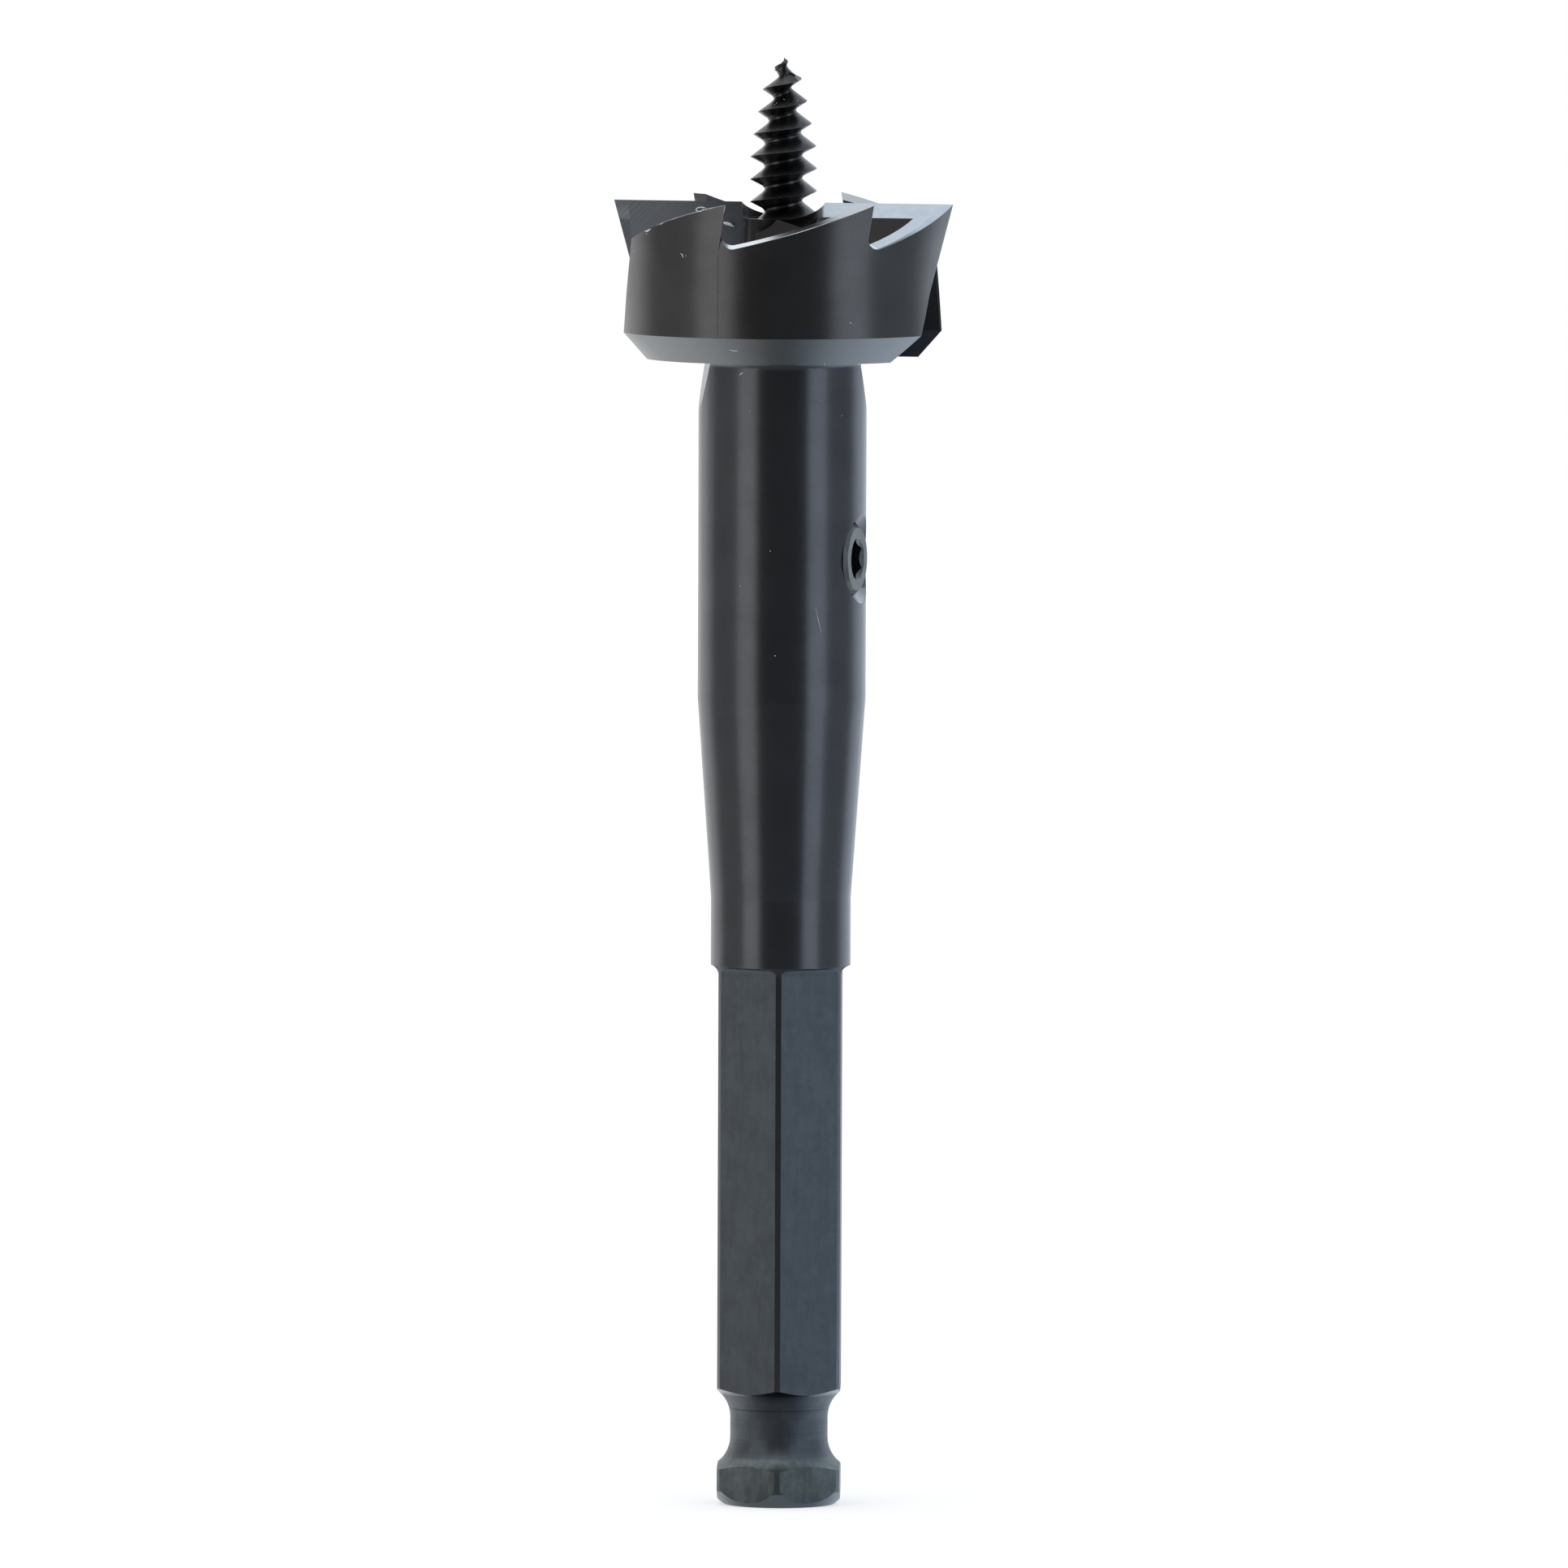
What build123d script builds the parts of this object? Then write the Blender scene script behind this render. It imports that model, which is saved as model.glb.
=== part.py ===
from build123d import *
import os
from math import asin, atan, cos, degrees, radians, sin, sqrt, tan

# A self-feed bit, which bores wide holes in timber, standing on the end of its hex shank with its
# feed screw up. X is to the right, Y away from the viewer and Z up. The origin is the middle of the
# hex end. Sizes are in millimetres, angles in degrees, and azimuths run from X towards Y.
# The bit cuts when its head turns towards rising azimuths, so "behind" means a lower azimuth.

# Hex shank with its quick-change groove
HEX_SIDES = 6
HEX_ACROSS_FLATS = 11.11
HEX_ACROSS_CORNERS = 12.54
HEX_LENGTH = 49.1
HEX_CORNER_AZIMUTH = -91.6
HEX_RUNOUT_RADIUS = 0.75
END_DIAMETER = 10.1
END_ROUND_HEIGHT = 1.58
END_ROUND_BULGE = 0.12
GROOVE_START = 6.1
GROOVE_LAND = 1.8
GROOVE_RADIUS = 3.0
GROOVE_DIAMETER = 8.86

# Round shank
LOWER_SHANK_DIAMETER = 12.7
LOWER_SHANK_LENGTH = 6.1
SHANK_TAPER_LENGTH = 18.1
UPPER_SHANK_DIAMETER = 15.24
UPPER_SHANK_LENGTH = 30.9
HEAD_FILLET = 0.8

# Head: a drum that flares out to the cutting diameter behind each lip, and less at the rim teeth
CUTTING_DIAMETER = 31.75
LIP_FLARE = 1.175
TOOTH_FLARE = 0.4
DRUM_HEIGHT = 14.5
DRUM_CHAMFER = 2.1
DRUM_CHAMFER_HEIGHT = 2.4
LIP_FLARE_LENGTH = 8.3
LIP_CAM_AT_FOOT = 0.06
LIP_CAM_AT_FLARE_START = 0.08
TOOTH_CAM_BELOW_GULLETS = 0.03
CAM_FLATTENING = 0.06
RIM_THICKNESS = 1.5
POCKET_DEPTH = 7.2
HUB_DIAMETER = 7.3
HUB_DROP = 1.8
LIP_CLEARANCE_DIAMETER = 7.8

# Two radial lips, each followed by two rim teeth
HALVES = 2
LIP_AZIMUTH = -14.0
LIP_DROP = 0.36
LIP_THICKNESS = 2.45
LIP_RAKE = 21.0
LIP_BACK_LEAN = 25.0
LIP_RELIEF = 21.5
LIP_LAND_AHEAD = 6.0
LIP_LAND_SHORT = 3.2
LIP_ROOT_LENGTH = 4.9
LIP_ROOT_TURN = 26.0
LIP_ROOT_LAND_REACH = 7.5
LIP_ROOT_LAND_TURN = 100.0
TOOTH_ANGLES = (43.1, 96.4)
TOOTH_UNDERCUT = 8.0
GULLET_TURNS = (43.1, 76.0)
GULLET_CORNER_DEPTHS = (4.42, 4.4)
GULLET_REACHES = (1.3, 16.0)
GULLET_RAMPS = (15.5, 15.9)
GULLET_TILTS = (15.1, 11.0)
GULLET_PASS_LENGTH = 4.5
GULLET_RADIUS = 1.0
RIM_END_ANGLE = 144.9
RIM_END_DROP = 3.5
RIM_END_RAMP = 17.0
RIM_END_PASS_LENGTH = 8.2

# Chip throats, one ahead of each lip
THROAT_WIDTH = 9.3
THROAT_LEADING_LEAN = 14.3
THROAT_TURN = 18.0
THROAT_LEAN = 10.0
THROAT_NICK = 0.85

# Feed screw: a plain shank in the bore, and a right-hand wood thread that tapers to a point
SCREW_DIAMETER = 6.1
SCREW_SHANK_LENGTH = 36.2
SCREW_SHOULDER_SINK = 0.3
SCREW_END_CHAMFER = 0.45
THREAD_LENGTH = 14.8
THREAD_PITCH = 2.04
THREAD_DIAMETER = 6.04
THREAD_STRAIGHT_LENGTH = 6.5
THREAD_ROOT_DIAMETER = 3.44
THREAD_ROOT_STRAIGHT_LENGTH = 7.4
THREAD_TIP_DIAMETER = 3.46
THREAD_TIP_LENGTH = 1.9
THREAD_TIP_AZIMUTH = -39.0
THREAD_UPPER_FLANK = 0.84
THREAD_LOWER_FLANK = 0.54
THREAD_ROOT_ROUND = 0.24
THREAD_ROOT_RISE = 0.16
THREAD_STEPS_PER_TURN = 4
THREAD_TURNS = 9
POINT_DIAMETER = 0.26
POINT_ROOT_DIAMETER = 0.2
FLAT_LENGTH = 17.9
FLAT_END_MARGIN = 2.3
FLAT_DEPTH = 1.1
FLAT_SLOPE = 2.7
FLAT_RUNOUT_RADIUS = 6.0

# Set screw in the side of the shank, which holds the feed screw by its flat
SET_SCREW_DIAMETER = 6.35
SET_SCREW_RISE = 5.7
SET_SCREW_AZIMUTH = -18.0
SET_SCREW_SINK = 0.42
SET_SCREW_POINT_DIAMETER = 3.6
SET_SCREW_POINT_CHAMFER = 0.9
SET_SCREW_RIM_CHAMFER = 0.35
SOCKET_ACROSS_FLATS = 3.175
SOCKET_DEPTH = 2.2
SOCKET_CHAMFER = 0.35
COUNTERSINK_DIAMETER = 8.1
COUNTERSINK_DEPTH = 0.9

# Clearances of the fits
BORE_CLEARANCE = 0.03
THREAD_CLEARANCE = 0.03
SEAT_CLEARANCE = 0.01
DRILL_POINT_ANGLE = 118.0

# How far a cutting tool reaches past what it cuts
PAST = 3.0

# Levels and radii that follow from the sizes above
TAPER_START = HEX_LENGTH + LOWER_SHANK_LENGTH
TAPER_END = TAPER_START + SHANK_TAPER_LENGTH
HEAD_BOTTOM = TAPER_END + UPPER_SHANK_LENGTH
TOOTH_TOP = HEAD_BOTTOM + DRUM_HEIGHT
LIP_TOP = TOOTH_TOP - LIP_DROP
HUB_TOP = TOOTH_TOP - HUB_DROP
POCKET_FLOOR = TOOTH_TOP - POCKET_DEPTH
CUTTING_RADIUS = CUTTING_DIAMETER / 2
DRUM_RADIUS = CUTTING_RADIUS - LIP_FLARE
TOOTH_TIP_RADIUS = DRUM_RADIUS + TOOTH_FLARE
RIM_INNER_RADIUS = DRUM_RADIUS - RIM_THICKNESS
UPPER_SHANK_RADIUS = UPPER_SHANK_DIAMETER / 2
SCREW_RADIUS = SCREW_DIAMETER / 2
BORE_RADIUS = SCREW_RADIUS + BORE_CLEARANCE
SCREW_SHOULDER = HUB_TOP - SCREW_SHOULDER_SINK
SCREW_END = SCREW_SHOULDER - SCREW_SHANK_LENGTH
SCREW_TIP = SCREW_SHOULDER + THREAD_LENGTH
THREAD_STEPS = THREAD_TURNS * THREAD_STEPS_PER_TURN
FLAT_BOTTOM = SCREW_END + FLAT_END_MARGIN
FLAT_TOP = FLAT_BOTTOM + FLAT_LENGTH
SET_SCREW_HEIGHT = SCREW_END + SET_SCREW_RISE


def direction(azimuth):
    return Vector(cos(radians(azimuth)), sin(radians(azimuth)), 0)


def at(radius, azimuth, z):
    return direction(azimuth) * radius + Vector(0, 0, z)


def lip_point(along, ahead, z):
    """A point by its distance along the lip and ahead of the lip's edge."""
    return direction(LIP_AZIMUTH) * along + direction(LIP_AZIMUTH + 90) * ahead + Vector(0, 0, z)


def radial_plane(azimuth):
    """A plane through the axis, with its x outwards at the azimuth and its y up."""
    return Plane(origin=(0, 0, 0), x_dir=direction(azimuth), z_dir=direction(azimuth - 90))


def turned(edges):
    """The solid turned from an outline in the XZ plane."""
    return revolve(make_face(edges), Axis.Z)


def both_halves(cutter):
    """The head is the same after half a turn."""
    return [Rot(0, 0, 360 * half / HALVES) * cutter for half in range(HALVES)]


# Shank


def shank_blank():
    """The turned shank, from the rounded hex end to the underside of the head."""
    corner = HEX_ACROSS_CORNERS / 2
    end = END_DIAMETER / 2
    lower = LOWER_SHANK_DIAMETER / 2
    middle = ((corner + end) / 2 + END_ROUND_BULGE, 0, END_ROUND_HEIGHT / 2 - END_ROUND_BULGE)
    edges = [
        Line((0, 0, 0), (end, 0, 0)),
        ThreePointArc((end, 0, 0), middle, (corner, 0, END_ROUND_HEIGHT)),
        Line((corner, 0, END_ROUND_HEIGHT), (corner, 0, HEX_LENGTH - HEX_RUNOUT_RADIUS)),
        Line((corner, 0, HEX_LENGTH - HEX_RUNOUT_RADIUS), (lower, 0, HEX_LENGTH)),
        Line((lower, 0, HEX_LENGTH), (lower, 0, TAPER_START)),
        Line((lower, 0, TAPER_START), (UPPER_SHANK_RADIUS, 0, TAPER_END)),
        Line((UPPER_SHANK_RADIUS, 0, TAPER_END), (UPPER_SHANK_RADIUS, 0, HEAD_BOTTOM + PAST)),
        Line((UPPER_SHANK_RADIUS, 0, HEAD_BOTTOM + PAST), (0, 0, HEAD_BOTTOM + PAST)),
        Line((0, 0, HEAD_BOTTOM + PAST), (0, 0, 0)),
    ]
    return turned(edges)


def groove_cutter():
    """The ball groove: a straight neck with a concave arc at each end."""
    neck = GROOVE_DIAMETER / 2
    low = GROOVE_START
    high = GROOVE_START + GROOVE_LAND
    swing = GROOVE_RADIUS * cos(radians(45))
    near = neck + GROOVE_RADIUS - swing
    side = neck + GROOVE_RADIUS
    edges = [
        Line((neck, 0, low), (neck, 0, high)),
        ThreePointArc((neck, 0, high), (near, 0, high + swing), (side, 0, high + GROOVE_RADIUS)),
        Line((side, 0, high + GROOVE_RADIUS), (side, 0, low - GROOVE_RADIUS)),
        ThreePointArc((side, 0, low - GROOVE_RADIUS), (near, 0, low - swing), (neck, 0, low)),
    ]
    return turned(edges)


def hex_flat_cutter(azimuth):
    """One flat of the hex, which runs out at the round shank with a concave radius."""
    flat = HEX_ACROSS_FLATS / 2
    outer = LOWER_SHANK_DIAMETER / 2 + PAST
    outline = Polyline((flat, -PAST), (outer, -PAST), (outer, HEX_LENGTH), (flat, HEX_LENGTH), close=True)
    profile = make_face(outline)
    inner_top = profile.vertices().filter_by(lambda v: v.Y > 0).sort_by(Axis.X)[0]
    profile = fillet(inner_top, HEX_RUNOUT_RADIUS)
    return extrude(radial_plane(azimuth) * profile, LOWER_SHANK_DIAMETER, both=True)


def hex_cutters():
    turn = 360 / HEX_SIDES
    first = HEX_CORNER_AZIMUTH + turn / 2
    return [hex_flat_cutter(first + turn * side) for side in range(HEX_SIDES)]


# Head


def face_azimuth(tooth, drop, radius):
    """Where a rim tooth's face meets the drum's wall, at a drop below its tip."""
    across = TOOTH_TIP_RADIUS * sin(radians(GULLET_TURNS[tooth] - TOOTH_ANGLES[tooth]))
    across -= drop * tan(radians(TOOTH_UNDERCUT))
    return LIP_AZIMUTH - GULLET_TURNS[tooth] + degrees(asin(across / radius))


def drum_outline(z, lip_cam, tooth_cam, drop):
    """The drum at one height: behind each face it falls away to its radius, with a step there."""
    half_turn = 360 / HALVES
    faces = [(LIP_AZIMUTH, lip_cam)]
    for tooth in range(len(TOOTH_ANGLES)):
        faces.append((face_azimuth(tooth, drop, DRUM_RADIUS + tooth_cam), tooth_cam))
    faces = [(azimuth - half_turn * half, cam) for half in range(HALVES) for azimuth, cam in faces]
    faces.append((LIP_AZIMUTH - 360, lip_cam))
    edges = []
    for (start, cam), (end, next_cam) in zip(faces, faces[1:]):
        middle_radius = DRUM_RADIUS + cam / 2 - min(CAM_FLATTENING, cam / 4)
        middle = at(middle_radius, (start + end) / 2, z)
        tail = at(DRUM_RADIUS, end, z)
        arc = ThreePointArc(at(DRUM_RADIUS + cam, start, z), middle, tail)
        edges.extend([arc, Line(tail, at(DRUM_RADIUS + next_cam, end, z))])
    return Wire(edges)


def drum():
    """The head's solid, before the pockets and the teeth are cut."""
    flare_start = TOOTH_TOP - LIP_FLARE_LENGTH
    depth = max(GULLET_CORNER_DEPTHS)
    lip_cam = LIP_FLARE - (LIP_FLARE - LIP_CAM_AT_FLARE_START) * depth / LIP_FLARE_LENGTH
    outlines = [
        drum_outline(HEAD_BOTTOM, LIP_CAM_AT_FOOT, TOOTH_CAM_BELOW_GULLETS, depth),
        drum_outline(flare_start, LIP_CAM_AT_FLARE_START, TOOTH_CAM_BELOW_GULLETS, depth),
        drum_outline(TOOTH_TOP - depth, lip_cam, TOOTH_CAM_BELOW_GULLETS, depth),
        drum_outline(TOOTH_TOP, LIP_FLARE, TOOTH_FLARE, 0),
    ]
    flared = Solid.make_loft(outlines, ruled=True)
    wide = CUTTING_RADIUS + PAST
    foot = DRUM_RADIUS - DRUM_CHAMFER
    top = TOOTH_TOP + PAST
    edges = Polyline(
        (0, 0, HEAD_BOTTOM),
        (foot, 0, HEAD_BOTTOM),
        (wide, 0, HEAD_BOTTOM + (wide - foot) * DRUM_CHAMFER_HEIGHT / DRUM_CHAMFER),
        (wide, 0, top),
        (0, 0, top),
        close=True,
    )
    return flared & turned(edges)


def lip_slab():
    """The blade of a lip, between its rake and its leaning back, which is thicker at the hub."""
    above = TOOTH_TOP + PAST
    rise = above - LIP_TOP
    depth = LIP_TOP - POCKET_FLOOR + PAST
    rake = tan(radians(LIP_RAKE))
    back = tan(radians(LIP_BACK_LEAN))
    corners = [
        (rise * rake, above),
        (rise * back - LIP_THICKNESS, above),
        (-LIP_THICKNESS - depth * back, LIP_TOP - depth),
        (-depth * rake, LIP_TOP - depth),
    ]
    section = Face(Wire.make_polygon([lip_point(0, ahead, z) for ahead, z in corners]))
    blade = extrude(section, RIM_INNER_RADIUS + RIM_THICKNESS / 2, dir=direction(LIP_AZIMUTH))
    root = extrude(section, LIP_ROOT_LENGTH, dir=direction(LIP_AZIMUTH))
    return blade + Rot(0, 0, -LIP_ROOT_TURN) * root


def pocket_cutter():
    """The pockets between the hub, the rim and the lips."""
    height = POCKET_DEPTH + PAST
    floor = Pos(0, 0, POCKET_FLOOR)
    low = (Align.CENTER, Align.CENTER, Align.MIN)
    ring = floor * Cylinder(RIM_INNER_RADIUS, height, align=low)
    ring -= floor * Cylinder(HUB_DIAMETER / 2, height, align=low)
    return ring - both_halves(lip_slab())


def throat_section(z):
    """The throat at one height, between the lip's rake, the leading wall and the inner wall."""
    below = LIP_TOP - z
    trailing = -below * tan(radians(LIP_RAKE))
    leading = THROAT_WIDTH - below * tan(radians(THROAT_LEADING_LEAN))
    inner = UPPER_SHANK_RADIUS - THROAT_NICK - (z - HEAD_BOTTOM) * tan(radians(THROAT_LEAN))
    outer = CUTTING_RADIUS + PAST
    corners = []
    for ahead in (trailing, leading):
        along = (inner - ahead * sin(radians(THROAT_TURN))) / cos(radians(THROAT_TURN))
        corners.append((along, ahead))
    section = [
        lip_point(corners[0][0], trailing, z),
        lip_point(outer, trailing, z),
        lip_point(outer, leading, z),
        lip_point(corners[1][0], leading, z),
    ]
    return Wire.make_polygon(section)


def throat_cutter():
    """A throat, which leans back under its lip and runs out in the side of the shank."""
    runout = THROAT_NICK / tan(radians(THROAT_LEAN))
    low = throat_section(HEAD_BOTTOM - runout - PAST)
    high = throat_section(TOOTH_TOP + PAST)
    return Solid.make_loft([low, high], ruled=True)


def lip_relief_cutter():
    """The ground land that falls away behind a lip, over the blade and the rim."""
    low = POCKET_FLOOR
    reach = 2 * CUTTING_RADIUS
    behind = LIP_AZIMUTH - TOOTH_ANGLES[0] + LIP_LAND_SHORT
    corners = [
        Vector(0, 0, low),
        at(reach, LIP_AZIMUTH + LIP_LAND_AHEAD, low),
        at(reach, behind, low),
        at(LIP_ROOT_LAND_REACH, behind, low),
        at(LIP_ROOT_LAND_REACH, LIP_AZIMUTH - LIP_ROOT_LAND_TURN, low),
    ]
    block = extrude(Face(Wire.make_polygon(corners)), TOOTH_TOP + PAST - low, dir=(0, 0, 1))
    slope = tan(radians(LIP_RELIEF))
    normal = Vector(0, 0, 1) - direction(LIP_AZIMUTH + 90) * slope
    return split(block, Plane(origin=(0, 0, LIP_TOP), z_dir=normal), keep=Keep.TOP)


def rim_pass(azimuth, heading, tilt, corners):
    """A grinding pass over the rim's edge at the azimuth, with its heading and outward sinking."""
    outwards = direction(heading) * cos(radians(tilt)) - Vector(0, 0, 1) * sin(radians(tilt))
    tip = at(TOOTH_TIP_RADIUS, azimuth, TOOTH_TOP)
    plane = Plane(tip, x_dir=direction(heading + 90), z_dir=outwards)
    return plane, make_face(Polyline(*corners, close=True))


def ground(plane, profile, inwards):
    """The profile, swept from inside the pocket to past the rim."""
    return extrude(plane * Pos(0, 0, -inwards) * profile, inwards + PAST)


def gullet_cutter(tooth):
    """The face of a rim tooth, the round gullet ahead of it and the back of the tooth before."""
    azimuth = LIP_AZIMUTH - TOOTH_ANGLES[tooth]
    undercut = tan(radians(TOOTH_UNDERCUT))
    ramp = tan(radians(GULLET_RAMPS[tooth]))
    depth = GULLET_CORNER_DEPTHS[tooth]
    reach = GULLET_REACHES[tooth]
    corner = -depth * undercut
    corners = [
        (PAST * undercut, PAST),
        (corner, -depth),
        (reach, (reach - corner) * ramp - depth),
        (reach, PAST),
    ]
    heading = LIP_AZIMUTH - GULLET_TURNS[tooth]
    plane, profile = rim_pass(azimuth, heading, GULLET_TILTS[tooth], corners)
    profile = fillet(profile.vertices().sort_by(Axis.Y)[0], GULLET_RADIUS)
    return ground(plane, profile, GULLET_PASS_LENGTH)


def rim_end_cutter():
    """The back of the last rim tooth, which falls away to the throat."""
    ramp = tan(radians(RIM_END_RAMP))
    reach = CUTTING_RADIUS * sin(radians(RIM_END_ANGLE - TOOTH_ANGLES[-1]))
    behind = THROAT_WIDTH / 2
    corners = [
        (-behind, PAST),
        (-behind, -RIM_END_DROP - behind * ramp),
        (reach, reach * ramp - RIM_END_DROP),
        (reach, PAST),
    ]
    azimuth = LIP_AZIMUTH - RIM_END_ANGLE
    plane, profile = rim_pass(azimuth, azimuth, 0, corners)
    return ground(plane, profile, RIM_END_PASS_LENGTH)


def tooth_cutters():
    cutters = [lip_relief_cutter(), rim_end_cutter()]
    cutters.extend(gullet_cutter(tooth) for tooth in range(len(TOOTH_ANGLES)))
    return [half for cutter in cutters for half in both_halves(cutter)]


def hub_cutter():
    """The clearing round the feed screw, between the inner ends of the lips."""
    low = (Align.CENTER, Align.CENTER, Align.MIN)
    return Pos(0, 0, HUB_TOP) * Cylinder(LIP_CLEARANCE_DIAMETER / 2, HUB_DROP + PAST, align=low)


# Bores


def screw_bore():
    """The bore of the feed screw, with the drill's point at its bottom."""
    cone = BORE_RADIUS / tan(radians(DRILL_POINT_ANGLE / 2))
    gap = BORE_RADIUS - (SCREW_RADIUS - SCREW_END_CHAMFER)
    shoulder = SCREW_END - SEAT_CLEARANCE + gap / tan(radians(DRILL_POINT_ANGLE / 2))
    edges = Polyline(
        (0, 0, shoulder - cone),
        (BORE_RADIUS, 0, shoulder),
        (BORE_RADIUS, 0, TOOTH_TOP + PAST),
        (0, 0, TOOTH_TOP + PAST),
        close=True,
    )
    return turned(edges)


def cross_plane(distance):
    """A plane across the set screw's axis, with its z outwards and its y up."""
    outwards = direction(SET_SCREW_AZIMUTH)
    origin = outwards * distance + Vector(0, 0, SET_SCREW_HEIGHT)
    return Plane(origin=origin, x_dir=direction(SET_SCREW_AZIMUTH + 90), z_dir=outwards)


def set_screw_hole():
    """The cross hole, with the countersink at its mouth."""
    radius = SET_SCREW_DIAMETER / 2 + THREAD_CLEARANCE
    mouth = COUNTERSINK_DIAMETER / 2
    low = (Align.CENTER, Align.CENTER, Align.MIN)
    hole = cross_plane(0) * Cylinder(radius, UPPER_SHANK_RADIUS + PAST, align=low)
    sink = cross_plane(UPPER_SHANK_RADIUS - COUNTERSINK_DEPTH)
    spread = (mouth - radius) / COUNTERSINK_DEPTH
    cone = Cone(radius, mouth + spread * PAST, COUNTERSINK_DEPTH + PAST, align=low)
    return hole + sink * cone


def bit_body():
    body = shank_blank()
    body -= hex_cutters()
    body -= groove_cutter()
    head = drum()
    head -= pocket_cutter()
    head -= tooth_cutters()
    head -= hub_cutter()
    body += head
    root = body.edges().filter_by(GeomType.CIRCLE)
    root = root.filter_by(lambda e: abs(e.radius - UPPER_SHANK_RADIUS) < 1e-4)
    root = root.filter_by(lambda e: abs(e.center().Z - HEAD_BOTTOM) < 1e-4)
    body = fillet(root, HEAD_FILLET)
    body -= both_halves(throat_cutter())
    body -= screw_bore()
    body -= set_screw_hole()
    return body.solid()


# Feed screw


def screw_shank():
    """The plain shank, chamfered at its end, up to its shoulder under the thread."""
    end = SCREW_RADIUS - SCREW_END_CHAMFER
    edges = Polyline(
        (0, 0, SCREW_END),
        (end, 0, SCREW_END),
        (SCREW_RADIUS, 0, SCREW_END + SCREW_END_CHAMFER),
        (SCREW_RADIUS, 0, SCREW_SHOULDER),
        (0, 0, SCREW_SHOULDER),
        close=True,
    )
    return turned(edges)


def sloped(z, stations):
    """A radius that stays as it is up to the first station and then changes in straight lines."""
    for (low, start), (high, end) in zip(stations, stations[1:]):
        if z < high:
            share = max(z - low, 0) / (high - low)
            return start + (end - start) * share
    return stations[-1][1]


def crest_radius(z):
    stations = [
        (SCREW_SHOULDER + THREAD_STRAIGHT_LENGTH, THREAD_DIAMETER / 2),
        (SCREW_TIP - THREAD_TIP_LENGTH, THREAD_TIP_DIAMETER / 2),
        (SCREW_TIP, POINT_DIAMETER / 2),
    ]
    return sloped(z, stations)


def root_radius(z):
    stations = [
        (SCREW_SHOULDER + THREAD_ROOT_STRAIGHT_LENGTH, THREAD_ROOT_DIAMETER / 2),
        (SCREW_TIP, POINT_ROOT_DIAMETER / 2),
    ]
    return sloped(z, stations)


def step_level(step):
    """The height of the crest, which ends with its last step at the tip."""
    return SCREW_TIP - (THREAD_STEPS - step) * THREAD_PITCH / THREAD_STEPS_PER_TURN


def step_azimuth(step):
    return THREAD_TIP_AZIMUTH - 360 * (THREAD_STEPS - step) / THREAD_STEPS_PER_TURN


def groove_section(step):
    """The groove at one step, from a crest to the next one above, as radii and heights."""
    upper = THREAD_UPPER_FLANK
    lower = THREAD_PITCH - THREAD_LOWER_FLANK
    corners = [
        (0, 1),
        (upper, THREAD_ROOT_RISE),
        (upper + THREAD_ROOT_ROUND, 0),
        (lower - THREAD_ROOT_ROUND, 0),
        (lower, THREAD_ROOT_RISE),
        (THREAD_PITCH, 1),
    ]
    section = []
    for rise, share in corners:
        z = step_level(step) + rise
        root = root_radius(z)
        section.append((root + share * (crest_radius(z) - root), z))
    return section


def helix(start, end, azimuth):
    """One step of a helix, from a radius and height to another."""
    height = end[1] - start[1]
    cone = atan((start[0] - end[0]) / height)
    pitch = height * THREAD_STEPS_PER_TURN / cos(cone)
    edge = Edge.make_helix(pitch, height, start[0], angle=-degrees(cone))
    return Pos(0, 0, start[1]) * Rot(0, 0, azimuth) * edge


def groove_faces(step):
    """The strips of the groove between one step and the next."""
    ends = zip(groove_section(step), groove_section(step + 1))
    edges = [helix(start, end, step_azimuth(step)) for start, end in ends]
    return [Face.make_surface_from_curves(low, high) for low, high in zip(edges, edges[1:])]


def closing_faces(first):
    """A turn of winding surface between the crest and the axis, and the wall at its two ends."""
    faces = []
    for step in range(first, first + THREAD_STEPS_PER_TURN):
        low = groove_section(step)[0]
        high = groove_section(step + 1)[0]
        axis = Edge.make_line((0, 0, low[1]), (0, 0, high[1]))
        faces.append(Face.make_surface_from_curves(helix(low, high, step_azimuth(step)), axis))
    wall = [at(radius, step_azimuth(first), z) for radius, z in groove_section(first)]
    for step in range(first + THREAD_STEPS_PER_TURN, first - 1, -1):
        wall.append(Vector(0, 0, step_level(step)))
    faces.append(Face(Wire.make_polygon(wall)))
    return faces


def thread():
    """The threaded end, from a start that is buried in the shank to the point."""
    last = THREAD_STEPS - THREAD_STEPS_PER_TURN
    faces = closing_faces(0)
    for step in range(last):
        faces.extend(groove_faces(step))
    faces.extend(closing_faces(last))
    return Solid(Shell(faces))


def flat_runout(depth):
    """How far the run-out's arc still has to go, where it leaves the screw's side."""
    return FLAT_RUNOUT_RADIUS - sqrt(FLAT_RUNOUT_RADIUS**2 - (FLAT_RUNOUT_RADIUS - depth) ** 2)


def flat_surface(z):
    """How far the screw's flat lies from the axis at a height."""
    return SCREW_RADIUS - FLAT_DEPTH + (FLAT_TOP - z) * tan(radians(FLAT_SLOPE))


def flat_cutter():
    """The sloped flat, deepest at its upper end, with a round run-out at each end."""
    low = FLAT_BOTTOM - flat_runout(SCREW_RADIUS - flat_surface(FLAT_BOTTOM))
    high = FLAT_TOP + flat_runout(FLAT_DEPTH)
    outside = SCREW_RADIUS + FLAT_RUNOUT_RADIUS
    corners = [(flat_surface(low), low), (outside, low), (outside, high), (flat_surface(high), high)]
    profile = make_face(Polyline(*corners, close=True))
    inner = profile.vertices().sort_by(Axis.X)[:2]
    profile = fillet(inner, FLAT_RUNOUT_RADIUS)
    return extrude(radial_plane(SET_SCREW_AZIMUTH) * profile, SCREW_DIAMETER, both=True)


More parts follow.
